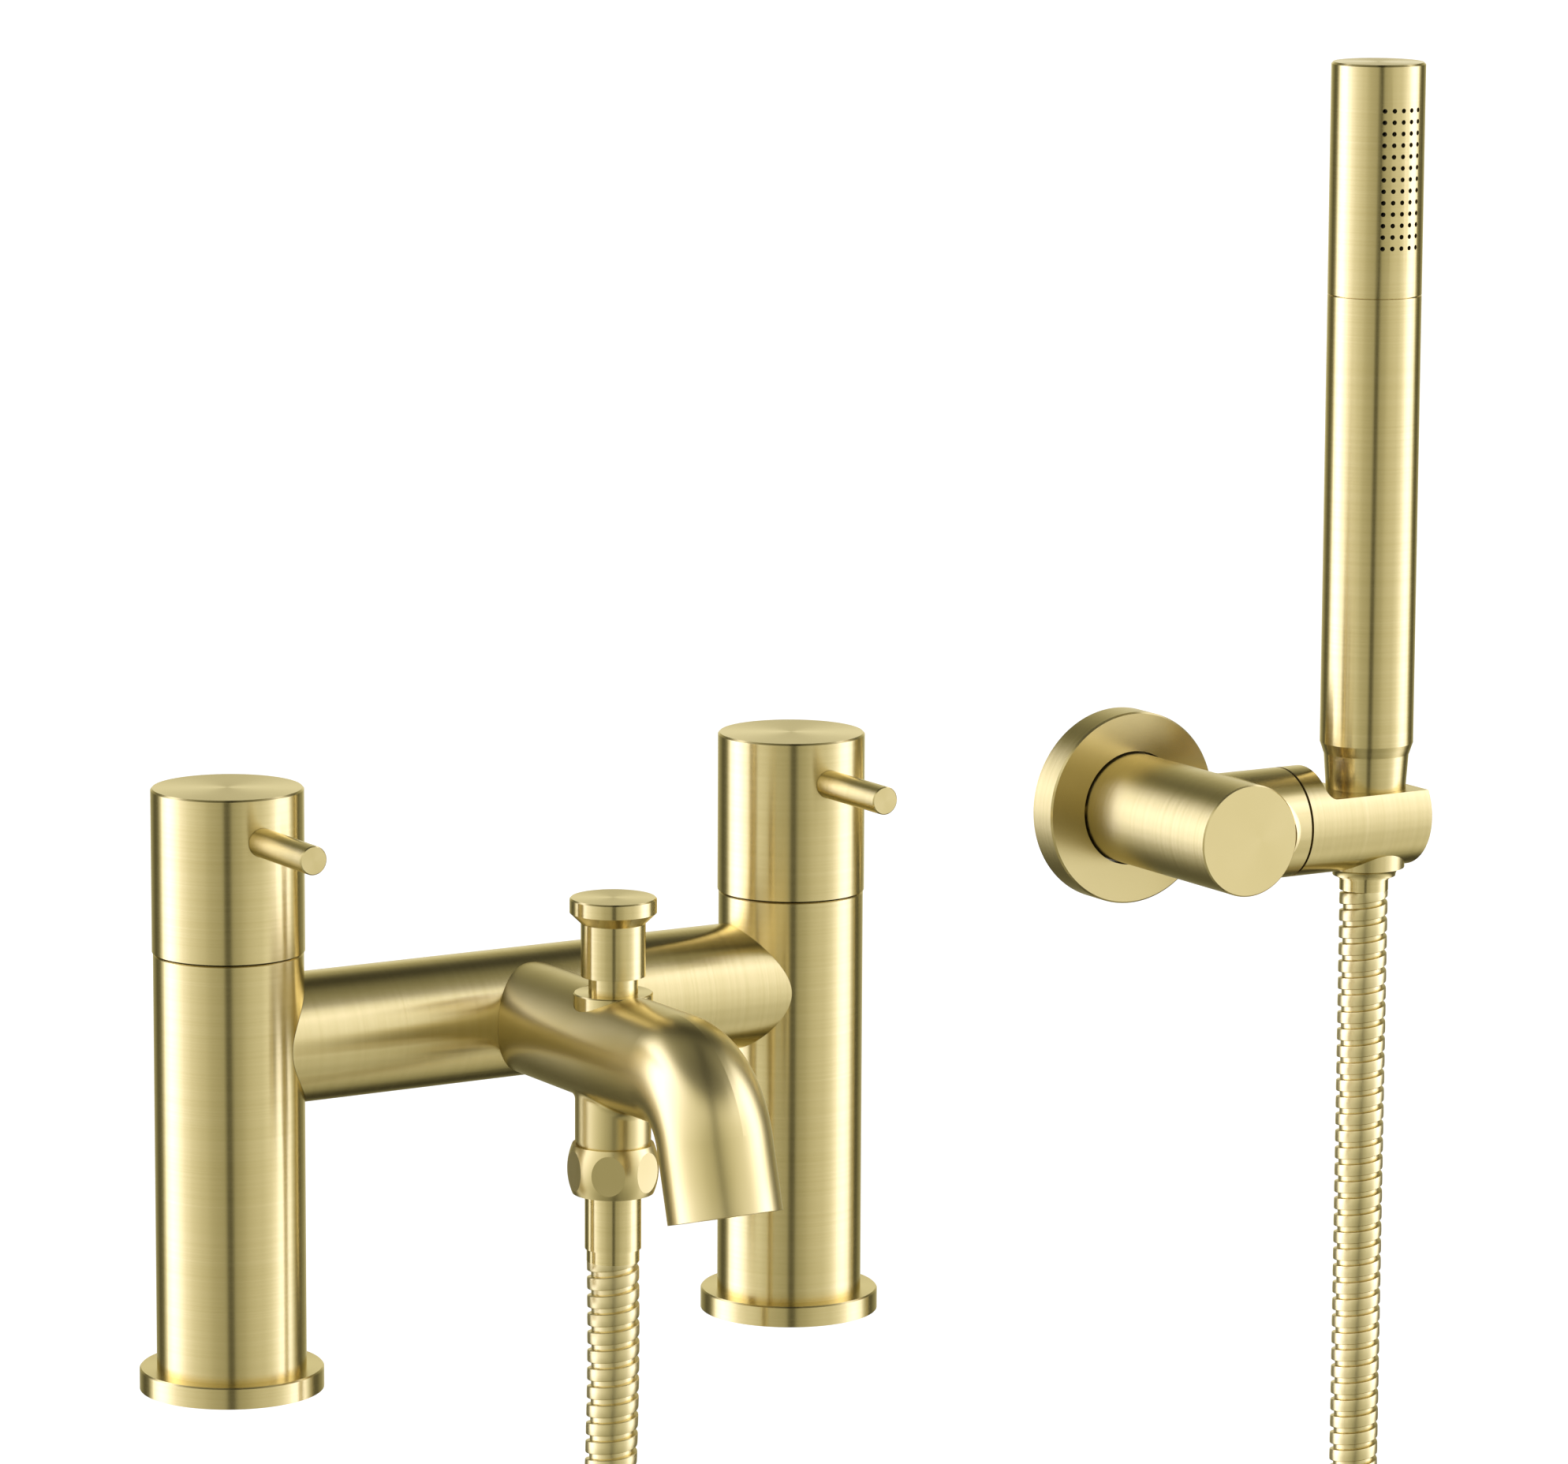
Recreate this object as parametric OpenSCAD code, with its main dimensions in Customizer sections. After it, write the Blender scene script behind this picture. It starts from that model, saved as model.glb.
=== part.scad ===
// Deck-mounted bath and shower mixer with a wall bracket, a pencil handset and its hose.
// Frame: origin on the deck midway between the two inlets, +X to the cold side, -Y towards the
// user, +Z up. The hot side is at -X. All sizes are in millimetres.

/* [Mixer body] */
// Distance between the centres of the hot and cold inlets
inlet_pitch = 180; // [150:1:220]
// Outer diameter of the two pillars
pillar_d = 41.4; // [40:0.2:46]
// Height of the top of the pillars above the deck
pillar_top = 122.6; // [118:0.2:130]
// Diameter of the round base flanges
flange_d = 51; // [48:0.5:60]
// Thickness of the round base flanges
flange_h = 6; // [4:0.5:10]
// Diameter of the bar that bridges the pillars
bar_d = 36; // [34:0.5:38]
// Height of the bar's axis above the deck
bar_z = 96.5; // [95:0.5:98]
// Bore radius of the female three-quarter-inch inlets
inlet_r = 12.05; // [11:0.05:12.4]
// Depth of the inlet bores
inlet_depth = 16; // [10:1:24]

/* [Handles] */
// Diameter of the handles
handle_d = 42; // [41:0.2:46]
// Height of the handles
handle_h = 45.4; // [40:0.2:55]
// Height of the lever pins above the deck
lever_z = 156.5; // [154:0.5:160]
// Diameter of the lever pins
lever_d = 8; // [6:0.5:10]
// Reach of the lever pins from the pillar axis
lever_reach = 51; // [40:1:65]

/* [Spout] */
// Diameter of the spout
spout_d = 31.4; // [31:0.2:33]
// Distance from the bar's axis to the start of the bend
spout_run = 89.4; // [84:0.2:100]
// Radius of the bend's centreline
bend_r = 21.4; // [19:0.2:26]
// Straight length after the bend
spout_drop = 20.8; // [16:0.2:26]
// Distance of the diverter and the hose outlet in front of the bar's axis
diverter_y = 55; // [52:0.5:60]
// Travel of the diverter knob
diverter_travel = 7.4; // [5:0.1:7.4]

/* [Wall bracket] */
// Position of the post across the wall
bracket_x = 227.7; // [215:0.1:240]
// Distance of the wall face behind the pillar axes
wall_y = 40; // [36:1:60]
// Height of the post's axis above the deck
bracket_z = 129; // [120:0.5:150]
// Diameter of the wall flange
wall_flange_d = 58; // [50:1:66]
// Thickness of the wall flange
wall_flange_h = 9.8; // [8:0.2:12]
// Diameter of the post
post_d = 33.2; // [32:0.2:34]
// Reach of the post from the wall
post_reach = 71.7; // [68:0.1:80]
// Diameter of the side arm and the holder
arm_d = 32.7; // [31:0.1:33]
// Distance of the arm's axis from the wall
arm_reach = 51; // [50:0.5:54]
// Distance from the post's axis to the handset's axis
handset_offset = 55.8; // [54:0.1:60]

/* [Handset] */
// Diameter of the handset
handset_d = 27.8; // [27:0.1:29]
// Height of the handset's lower edge above the deck
handset_bottom = 147.5; // [146:0.5:149]
// Length of the handset
handset_l = 205.5; // [190:0.5:230]
// Distance of the seam below the handset's top
head_l = 68.5; // [66:0.5:75]
// Rows of spray holes
spray_rows = 13; // [5:1:13]
// Columns of spray holes
spray_cols = 5; // [3:1:5]
// Diameter of the spray holes
spray_hole_d = 1.4; // [0.8:0.1:1.8]

/* [Hose] */
// Outer diameter of the hose
hose_d = 14.5; // [12:0.1:15]

/* [Hidden] */
$fn = 96;

brass = [0.80, 0.72, 0.50];
raw_brass = [0.72, 0.62, 0.36];
rubber = [0.12, 0.12, 0.12];
ceramic = [0.93, 0.93, 0.90];
plastic = [0.85, 0.86, 0.84];
steel = [0.62, 0.62, 0.62];

hot = -1;
cold = 1;
// Overshoot of a cut past a face, and the play on each side of a fit
over = 1;
gap = 0.05;
inlet_x = inlet_pitch / 2;

// Pillar and valve levels
spigot_r = 17;
seal_r = 24;
seal_bore_r = 21.5;
seal_h = 1.6;
waterway_r = 8;
cavity_r = 13;
cavity_top = 76;
seat_z = 84;
chamber_r = 12.5;
valve_r = 9;
disc_bore_r = 7.2;
disc_z = seat_z + 2;
disc_h = 3.2;
disc_port_x = 4;
disc_port_r = 2.2;
carrier_z = disc_z + 2 * disc_h + 2.6;
thread_z = 107.6;
hex_z = 116;
valve_top = 121;
valve_flats = 19;
spindle_r = 4.45;
spindle_top = 150.5;
spindle_ring_z = 110;
spindle_ring_r = 3.97;
spindle_ring_section_r = 0.5;

// Bar, nipples and handle levels
port_r = 11;
nipple_wall = 3;
bar_cavity_r = 14.5;
bar_cavity_l = 112;
bar_outlet_z = 88;
bar_outlet_r = 4.5;
handle_z = pillar_top + 0.5;
handle_top = handle_z + handle_h;
handle_cavity_r = 17.5;
handle_cavity_h = 16;
handle_screw_z = 145;
lever_seat_y = 18.5;
lever_thread_r = 2.5;
grub_r = 2;
grub_socket_r = 1.1;
edge = 0.4;

// Spout and diverter levels. The bend's angle is one of a 7-24-25 triangle, close to 74 degrees,
// which puts its end plane on exact coordinates.
bend_angle = acos(7 / 25);
spout_r = spout_d / 2;
bend_tilt = 90 - bend_angle;
bend_z = bar_z - bend_r;
spout_bore_r = 10;
aerator_r = 11.6;
aerator_h = 9;
aerator_bore_r = 9.5;
chamber_low = 82.5;
port_seat_r = 5;
cell_r = 9;
seat_ring_h = 2;
seat_ring_bore_r = 5.5;
collar_low = 103.2;
collar_ring_z = 105.5;
collar_z = 107;
collar_top = 112;
collar_r = 10.95;
stem_r = 6.8;
stem_low = 101;
rod_r = 2.5;
knob_z = 116.7;
knob_r = 8.9;
knob_head_r = 12;
knob_taper_z = 131.4;
knob_head_z = 134.4;
knob_top = 138.5;
knob_socket_r = 4.95;
knob_socket_h = 10.5;
diverter_washer_h = 3;
// The washer rises by the knob's travel to meet this ring
seat_ring_z = chamber_low + diverter_washer_h + diverter_travel + 2 * gap;

// Hose outlet levels, below the spout
boss_r = 10.5;
boss_z = 70.6;
outlet_thread_r = 10.2;
outlet_z = 61.5;
outlet_nut_top = 69.6;
outlet_nut_z = 55.8;
outlet_nut_flats = 23.5;
outlet_nut_r = 12.65;
barrel_r = 18;
outlet_nut_turn = 24;
check_valve_r = 7.5;
check_valve_top = 75;
ferrule_r = 7.8;
ferrule_step_r = 7.3;
ferrule_head_r = 9.3;
ferrule_bore_r = 4;
washer_r = 9.2;
washer_bore_r = 5.5;
outlet_washer_h = 2;
mixer_ferrule_z = 36.5;
ferrule_step_h = 3.6;

// Wall bracket
wall_plate_r = 22.6;
wall_plate_h = 5;
boss_plug_r = 12;
boss_plug_l = 16;
wall_hole_r = 2.25;
wall_hole_pitch = 38;
flange_cavity_r = 23;
flange_front_wall = 2.5;
arm_y = wall_y - arm_reach;
seam_x = bracket_x + 25.4;
seam_gap = 0.8;
arm_end_x = seam_x - seam_gap / 2;
post_screw_y = wall_y - 14;
holder_x = seam_x + seam_gap / 2;
handset_x = bracket_x + handset_offset;
holder_end_x = handset_x + 12.8;
holder_flat_z = bracket_z + 8.1;
holder_wall_x = handset_x - 23;
holder_fillet = 3;
cup_floor_z = 118;
cone_low_r = 10.6;
cone_high_r = 12.65;
cup_gap = 0.06;
holder_boss_z = 110.4;
hose_slot_w = 15.2;
swivel_r = 4;
swivel_depth = 16;
swivel_head_r = 5.2;
swivel_head_x = 262;

// Handset
cone_low_z = 118.6;
handset_ferrule_z = 106;
handset_ferrule_top = 127;
handset_top = handset_bottom + handset_l;
handset_seam = handset_top - head_l;
handset_r = handset_d / 2;
handset_bore_r = 12.7;
handset_thread_r = 10.4;
handset_thread_z = 129.15;
seam_half = 0.2;
socket_l = 8;
head_top_wall = 3;
spray_pitch = 3.36;
spray_top = handset_top - 13.4;
spray_step = 12.2;
spray_turn = -2.6;
spray_hole_l = 5;
inner_tube_r = 6;
inner_tube_z = 152.1;
inner_tube_top = 290;

// Hose route: down from the mixer, one loose bow on the bath's floor, up to the handset
floor_z = -400;
hose_lie = floor_z + hose_d / 2 + 0.05;
HOSE_ROUTE = [
    [0, -55, 36.5], [0, -55, 0], [-2, -55, -60], [-4, -55, -120], [-6, -55, -175], [-8, -55, -225],
    [-9, -55, -267], [-10, -55, -314], [-9, -69, -353], [-8, -100, -382], [-5, -141, hose_lie],
    [10, -196, hose_lie], [42, -236, hose_lie], [90, -259, hose_lie], [145, -266, hose_lie],
    [197, -258, hose_lie], [238, -232, hose_lie], [268, -192, hose_lie], [281, -144, hose_lie],
    [285, -93, hose_lie], [287, -56, -382], [288, -25, -353], [288, -11, -314], [287, -10, -267],
    [285, -11, -225], [284, -11, -170], [283.5, -11, -110], [283.5, -11, -40], [283.5, -11, 35],
    [283.5, -11, 104.5]
];
HOSE_STEPS = 2;
HOSE_SIDES = 12;
hose_wall = 1.1;

// ---- shared shapes ----

// Solid or hollow cylinder between two heights
module tube(r, low, high, bore = 0) {
    difference() {
        translate([0, 0, low]) cylinder(r = r, h = high - low);
        if (bore > 0) translate([0, 0, low - over]) cylinder(r = bore, h = high - low + 2 * over);
    }
}

// Solid cylinder, or prism with the given number of sides, between two heights
module cylinder_between(r, low, high, sides = 96) {
    translate([0, 0, low]) cylinder(r = r, h = high - low, $fn = sides);
}

// Ring of round section
module o_ring(mean_r, section_r, z) {
    translate([0, 0, z]) rotate_extrude() translate([mean_r, 0]) circle(r = section_r, $fn = 24);
}

// Cylinder with a small chamfer on its upper edge
module topped(r, low, high, c = edge) {
    rotate_extrude() translate([0, low])
        polygon([[0, 0], [r, 0], [r, high - low - c], [r - c, high - low], [0, high - low]]);
}

module at_pillar(side) { translate([side * inlet_x, 0, 0]) children(); }
module at_diverter() { translate([0, -diverter_y, 0]) children(); }
module at_handset() { translate([handset_x, arm_y, 0]) children(); }
module along_x(x) { translate([x, arm_y, bracket_z]) rotate([0, 90, 0]) children(); }
module along_y(y) { translate([bracket_x, y, bracket_z]) rotate([90, 0, 0]) children(); }

// ---- pillars and valves ----

module base_flange(side) {
    color(brass) at_pillar(side) difference() {
        topped(flange_d / 2, 0, flange_h);
        translate([0, 0, -over]) cylinder(r = spigot_r + gap, h = flange_h + 2 * over);
        tube(seal_r, -over, seal_h, seal_bore_r);
    }
}

module base_seal(side) {
    color(rubber) at_pillar(side) tube(seal_r - 0.1, 0, seal_h, seal_bore_r + 0.1);
}

module pillar(side) {
    color(brass) at_pillar(side) difference() {
        union() {
            topped(pillar_d / 2, flange_h, pillar_top, 0.3);
            cylinder(r = spigot_r, h = flange_h + over);
        }
        translate([0, 0, -over]) cylinder(r = inlet_r, h = inlet_depth + over);
        cylinder_between(cavity_r, inlet_depth, cavity_top);
        cylinder(r = waterway_r, h = seat_z + over);
        translate([0, 0, seat_z]) cylinder(r = chamber_r, h = pillar_top);
        translate([0, 0, bar_z]) rotate([0, -side * 90, 0]) cylinder(r = port_r + gap, h = pillar_d);
    }
}

module valve_body(side) {
    bore_h = 21;
    window_w = 8;
    window_h = 6;
    color(raw_brass) at_pillar(side) difference() {
        union() {
            cylinder_between(valve_r, disc_z, thread_z + over);
            cylinder_between(chamber_r - gap, thread_z, hex_z);
            cylinder_between(valve_flats / sqrt(3), hex_z, valve_top, 6);
        }
        translate([0, 0, disc_z - over]) cylinder(r = disc_bore_r, h = bore_h + over);
        cylinder(r = spindle_r + gap, h = valve_top + over);
        translate([-valve_r - over, -window_w / 2, carrier_z - window_h / 2])
            cube([2 * (valve_r + over), window_w, window_h]);
    }
}

module valve_seal(side) {
    bore_r = 5.9;
    color(rubber) at_pillar(side) tube(valve_r - 0.2, seat_z, disc_z, bore_r);
}

// Ceramic disc with two water ports; turned 90 degrees to each other they are shut
module port_disc(r, low, turn) {
    color(ceramic) rotate([0, 0, turn]) difference() {
        cylinder_between(r, low, low + disc_h);
        for (s = [-1, 1]) translate([s * disc_port_x, 0, 0])
            cylinder_between(disc_port_r, low - over, low + disc_h + over);
    }
}

module fixed_disc(side) { at_pillar(side) port_disc(disc_bore_r - gap, disc_z, 0); }
module moving_disc(side) { at_pillar(side) port_disc(disc_bore_r - 0.1, disc_z + disc_h + gap, 90); }

module spindle(side) {
    carrier_h = 3;
    peg_w = 1.6;
    peg_l = 3;
    peg_x = 5.4;
    groove_h = 1.1;
    groove_r = 3.45;
    color(raw_brass) at_pillar(side) difference() {
        union() {
            cylinder_between(disc_bore_r - 0.1, carrier_z, carrier_z + carrier_h);
            for (s = [-1, 1])
                translate([s * peg_x - peg_w / 2, -peg_l / 2, disc_z + 2 * disc_h + 2 * gap])
                    cube([peg_w, peg_l, carrier_h]);
            cylinder_between(spindle_r, carrier_z, spindle_top);
        }
        tube(spindle_r + over, spindle_ring_z - groove_h / 2, spindle_ring_z + groove_h / 2, groove_r);
    }
}

module spindle_oring(side) {
    color(rubber) at_pillar(side) o_ring(spindle_ring_r, spindle_ring_section_r, spindle_ring_z);
}

module handle(side) {
    color(brass) at_pillar(side) difference() {
        topped(handle_d / 2, handle_z, handle_top, 0.5);
        translate([0, 0, handle_z - over]) cylinder(r = handle_cavity_r, h = handle_cavity_h + over);
        translate([0, 0, handle_z]) cylinder(r = spindle_r + gap, h = spindle_top - handle_z + 0.5);
        translate([0, 0, lever_z]) rotate([90, 0, 0]) cylinder(r = lever_thread_r, h = handle_d);
        translate([0, -lever_seat_y, lever_z]) rotate([90, 0, 0])
            cylinder(r = lever_d / 2 + gap, h = handle_d / 4);
        translate([0, 0, handle_screw_z]) rotate([-90, 0, 0]) cylinder(r = grub_r, h = handle_d);
    }
}

module lever(side) {
    color(brass) at_pillar(side) translate([0, 0, lever_z]) rotate([90, 0, 0]) union() {
        topped(lever_d / 2, lever_seat_y + gap, lever_reach, 0.3);
        cylinder_between(lever_thread_r - gap, 3, lever_seat_y + 2 * gap);
    }
}

module handle_screw(side) {
    end_y = 13;
    socket_h = 2.5;
    color(steel) at_pillar(side) translate([0, 0, handle_screw_z]) rotate([-90, 0, 0]) difference() {
        cylinder_between(grub_r - gap, spindle_r, end_y);
        cylinder_between(grub_socket_r, end_y - socket_h, end_y + over, 6);
    }
}

// ---- bar and spout ----

module crossbar() {
    color(brass) difference() {
        translate([-inlet_x, 0, bar_z]) rotate([0, 90, 0]) cylinder(d = bar_d, h = inlet_pitch);
        translate([-inlet_x, 0, bar_z]) rotate([0, 90, 0]) cylinder(r = port_r, h = inlet_pitch);
        translate([-bar_cavity_l / 2, 0, bar_z]) rotate([0, 90, 0])
            cylinder(r = bar_cavity_r, h = bar_cavity_l);
        for (s = [hot, cold]) at_pillar(s) cylinder(r = pillar_d / 2 + gap, h = pillar_top);
        translate([0, 0, bar_outlet_z]) rotate([90, 0, 0]) cylinder(r = bar_outlet_r, h = bar_d);
    }
}

module bridge_nipples() {
    engagement = 12;
    pillar_end_x = inlet_x - chamber_r - 0.7;
    bar_end_x = inlet_x - pillar_d / 2 - engagement;
    color(raw_brass) for (s = [hot, cold]) translate([s * bar_end_x, 0, bar_z]) rotate([0, s * 90, 0])
        tube(port_r - gap, 0, pillar_end_x - bar_end_x, port_r - nipple_wall);
}

// A round tube that follows the spout's centreline from start_y to end_inset short of the outlet
module spout_core(r, start_y, end_inset) {
    block = 2 * spout_d;
    translate([0, -start_y, bar_z]) rotate([90, 0, 0]) cylinder(r = r, h = spout_run - start_y);
    intersection() {
        translate([0, -spout_run, bend_z]) rotate([180, -90, 0])
            rotate_extrude(angle = 90) translate([bend_r, 0]) circle(r = r);
        at_bend() translate([-spout_d, 0, -block]) cube(block);
    }
    at_outlet() translate([0, 0, -spout_drop]) cylinder(r = r, h = spout_drop - end_inset);
}

// Frame at the bend's centre, with +Z along the flow where the bend ends
module at_bend() {
    translate([0, -spout_run, bend_z]) rotate([180 - bend_tilt, 0, 0]) children();
}

// Frame at the outlet's centre, with +Z pointing out of the spout
module at_outlet() { at_bend() translate([0, bend_r, spout_drop]) children(); }

module spout() {
    slot_z = 99.5;
    slot_w = 6;
    slot_h = 7;
    slot_l = 36;
    color(brass) difference() {
        union() {
            spout_core(spout_r, 0, 0);
            at_diverter() cylinder_between(boss_r, boss_z, bar_z);
            at_diverter() cylinder_between(outlet_thread_r, outlet_z, boss_z + over);
        }
        translate([-bar_d, 0, bar_z]) rotate([0, 90, 0]) cylinder(r = bar_d / 2 + gap, h = 2 * bar_d);
        translate([0, 0, bar_outlet_z]) rotate([90, 0, 0]) cylinder(r = bar_outlet_r, h = diverter_y);
        at_diverter() {
            cylinder_between(cell_r, chamber_low, collar_z + over);
            cylinder_between(port_seat_r, outlet_z - over, chamber_low + over);
            cylinder_between(check_valve_r + gap, outlet_z - over, check_valve_top + over);
            cylinder_between(collar_r + gap, collar_z, collar_top + 10);
        }
        translate([0, -diverter_y, slot_z]) rotate([90, 0, 0]) linear_extrude(slot_l) {
            square([slot_w, slot_h], center = true);
            for (s = [-1, 1]) translate([s * slot_w / 2, 0]) circle(d = slot_h);
        }
        spout_core(spout_bore_r, spout_run - 0.5, -over);
        at_outlet() translate([0, 0, -aerator_h - 1]) cylinder(r = aerator_r, h = aerator_h + 2);
    }
}

module aerator_housing() {
    inset = 0.6;
    color(brass) at_outlet() translate([0, 0, -aerator_h - inset])
        tube(aerator_r - 2 * gap, 0, aerator_h, aerator_bore_r);
}

module aerator_insert() {
    cell = 2.6;
    mesh_h = 7;
    mesh_r = 8.2;
    color(plastic) at_outlet() translate([0, 0, -aerator_h - 0.2]) difference() {
        cylinder(r = aerator_bore_r - 0.12, h = mesh_h);
        for (i = [-3:3], j = [-3:3]) {
            x = cell * (i + j / 2);
            y = cell * j * sqrt(3) / 2;
            if (norm([x, y]) < mesh_r)
                translate([x, y, -over]) cylinder(r = 1, h = mesh_h + 2 * over, $fn = 6);
        }
    }
}

// ---- diverter ----

module diverter_collar() {
    groove_h = 1.8;
    groove_r = 8.3;
    color(brass) at_diverter() difference() {
        union() {
            topped(collar_r, collar_z, collar_top, 0.3);
            cylinder_between(cell_r - gap, collar_low, collar_z + over);
        }
        cylinder(r = stem_r + gap, h = collar_top + over);
        tube(groove_r, collar_ring_z - groove_h / 2, collar_ring_z + groove_h / 2);
    }
}

module diverter_oring() { color(rubber) at_diverter() o_ring(stem_r + 0.7, 0.6, collar_ring_z); }

module diverter_seat() {
    color(raw_brass) at_diverter()
        tube(cell_r - 0.01, seat_ring_z, seat_ring_z + seat_ring_h, seat_ring_bore_r);
}

module diverter_stem() {
    rod_low = 79.5;
    color(brass) at_diverter() union() {
        cylinder_between(knob_socket_r - gap, knob_z - over, knob_z + knob_socket_h - 0.5);
        cylinder_between(stem_r, stem_low, knob_z);
        cylinder_between(rod_r, rod_low, stem_low + over);
    }
}

module diverter_washer() {
    color(rubber) at_diverter()
        tube(cell_r - 1.6, chamber_low + gap, chamber_low + gap + diverter_washer_h, rod_r + 0.02);
}

module diverter_nut() {
    nut_low = 79.6;
    nut_r = 4.6;
    color(raw_brass) at_diverter() difference() {
        cylinder_between(nut_r, nut_low, chamber_low + 0.03, 6);
        cylinder_between(rod_r + 0.02, nut_low - over, chamber_low + over);
    }
}

module diverter_knob() {
    color(brass) at_diverter() difference() {
        rotate_extrude() polygon([
            [0, knob_z], [knob_r, knob_z], [knob_r, knob_taper_z], [knob_head_r, knob_head_z],
            [knob_head_r, knob_top - edge], [knob_head_r - edge, knob_top], [0, knob_top]
        ]);
        cylinder_between(knob_socket_r, knob_z - over, knob_z + knob_socket_h);
    }
}

// ---- hose outlet, nut and ferrules ----

module check_valve() {
    cup_r = 4;
    cup_top = 68;
    vent_r = 1.4;
    vent_x = 3;
    color(plastic) at_diverter() difference() {
        cylinder_between(check_valve_r, outlet_z + 1, check_valve_top);
        cylinder_between(cup_r, outlet_z, cup_top);
        for (a = [0:90:270]) rotate([0, 0, a]) translate([vent_x, 0, 0])
            cylinder_between(vent_r, cup_top - over, check_valve_top + over);
    }
}

module hose_nut() {
    mid_z = (outlet_nut_top + outlet_nut_z) / 2;
    nut_h = outlet_nut_top - outlet_nut_z;
    lip_h = 1.6;
    color(brass) at_diverter() difference() {
        intersection() {
            rotate([0, 0, outlet_nut_turn])
                cylinder_between(outlet_nut_flats / sqrt(3), outlet_nut_z, outlet_nut_top, 6);
            translate([0, 0, mid_z]) rotate_extrude() intersection() {
                translate([outlet_nut_r - barrel_r, 0]) circle(r = barrel_r, $fn = 180);
                translate([0, -nut_h / 2]) square([outlet_nut_r + 1, nut_h]);
            }
        }
        cylinder_between(ferrule_r + 0.15, outlet_nut_z - over, outlet_nut_top);
        cylinder_between(ferrule_head_r + 0.1, outlet_nut_z + lip_h, outlet_nut_top);
        cylinder_between(outlet_thread_r + gap, outlet_z - outlet_washer_h, outlet_nut_top + over);
    }
}

module hose_washer() {
    color(rubber) at_diverter() tube(washer_r, outlet_z - outlet_washer_h, outlet_z, washer_bore_r);
}

// Hose end: stepped barrel with a head that the nut pulls up
module ferrule(low, head_high, head_h) {
    head_low = head_high - head_h;
    difference() {
        union() {
            cylinder_between(ferrule_step_r, low, low + ferrule_step_h);
            cylinder_between(ferrule_r, low + ferrule_step_h - gap, head_low + over);
            cylinder_between(ferrule_head_r, head_low, head_high);
        }
        cylinder_between(ferrule_bore_r, low - over, head_high + over);
    }
}

module mixer_ferrule() {
    color(brass) at_diverter() ferrule(mixer_ferrule_z, outlet_z - outlet_washer_h, 2);
}

module handset_ferrule() {
    color(brass) at_handset() ferrule(handset_ferrule_z, handset_ferrule_top, 3);
}

// Point on a smooth curve through the route at segment i, fraction t
function route_at(i) = HOSE_ROUTE[max(0, min(len(HOSE_ROUTE) - 1, i))];
function curve_point(i, t) =
    let (a = route_at(i - 1), b = route_at(i), c = route_at(i + 1), d = route_at(i + 2))
    0.5 * (2 * b + (c - a) * t + (2 * a - 5 * b + 4 * c - d) * t * t + (3 * b - a - 3 * c + d) * t * t * t);
function unit(v) = v / norm(v);
hose_points = [
    for (i = [0:len(HOSE_ROUTE) - 2], k = [0:HOSE_STEPS - 1]) curve_point(i, k / HOSE_STEPS),
    HOSE_ROUTE[len(HOSE_ROUTE) - 1]
];
hose_last = len(hose_points) - 1;
function hose_tangent(i) =
    i == 0 || i == hose_last ? [0, 0, i == 0 ? -1 : 1] : unit(hose_points[i + 1] - hose_points[i - 1]);
// Side direction of each ring, carried along the curve without twist
function carried(side, t) = unit(side - (side * t) * t);
function hose_sides(i, side) =
    i > hose_last ? [] : let (s = carried(side, hose_tangent(i))) concat([s], hose_sides(i + 1, s));

// Points of the rings of radius r along the hose
function hose_skin(r, sides) = [
    for (i = [0:hose_last], k = [0:HOSE_SIDES - 1])
        let (u = sides[i], v = cross(hose_tangent(i), u), a = 360 * k / HOSE_SIDES)
        hose_points[i] + r * (cos(a) * u + sin(a) * v)
];
// Triangles between two rows of ring points that start at indices a and b, m being the next point
function strip(a, b, k, m) = [[a + k, b + k, a + m], [a + m, b + k, b + m]];

module hose() {
    sides = hose_sides(0, [1, 0, 0]);
    inner = (hose_last + 1) * HOSE_SIDES;
    last = hose_last * HOSE_SIDES;
    outside = [
        for (i = [0:hose_last - 1], k = [0:HOSE_SIDES - 1])
            let (a = i * HOSE_SIDES) each strip(a, a + HOSE_SIDES, k, (k + 1) % HOSE_SIDES)
    ];
    inside = [
        for (i = [0:hose_last - 1], k = [0:HOSE_SIDES - 1])
            let (a = inner + i * HOSE_SIDES) each strip(a + HOSE_SIDES, a, k, (k + 1) % HOSE_SIDES)
    ];
    ends = [
        for (k = [0:HOSE_SIDES - 1]) each concat(
            strip(inner, 0, k, (k + 1) % HOSE_SIDES),
            strip(last, inner + last, k, (k + 1) % HOSE_SIDES)
        )
    ];
    color(brass) polyhedron(
        points = concat(hose_skin(hose_d / 2, sides), hose_skin(hose_d / 2 - hose_wall, sides)),
        faces = concat(outside, inside, ends)
    );
}

// ---- wall bracket ----

module wall_flange() {
    cavity_h = wall_flange_h - flange_front_wall;
    color(brass) along_y(wall_y) difference() {
        topped(wall_flange_d / 2, 0, wall_flange_h, 0.5);
        translate([0, 0, -over]) cylinder(r = flange_cavity_r, h = cavity_h + over);
        cylinder(r = post_d / 2 + 0.6, h = wall_flange_h + over);
    }
}

module wall_plate() {
    color(steel) along_y(wall_y) difference() {
        union() {
            cylinder(r = wall_plate_r, h = wall_plate_h);
            cylinder(r = boss_plug_r, h = wall_plate_h + boss_plug_l);
        }
        for (s = [-1, 1])
            translate([s * wall_hole_pitch / 2, 0, 0])
                cylinder_between(wall_hole_r, -over, wall_plate_h + over);
    }
}

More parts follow.
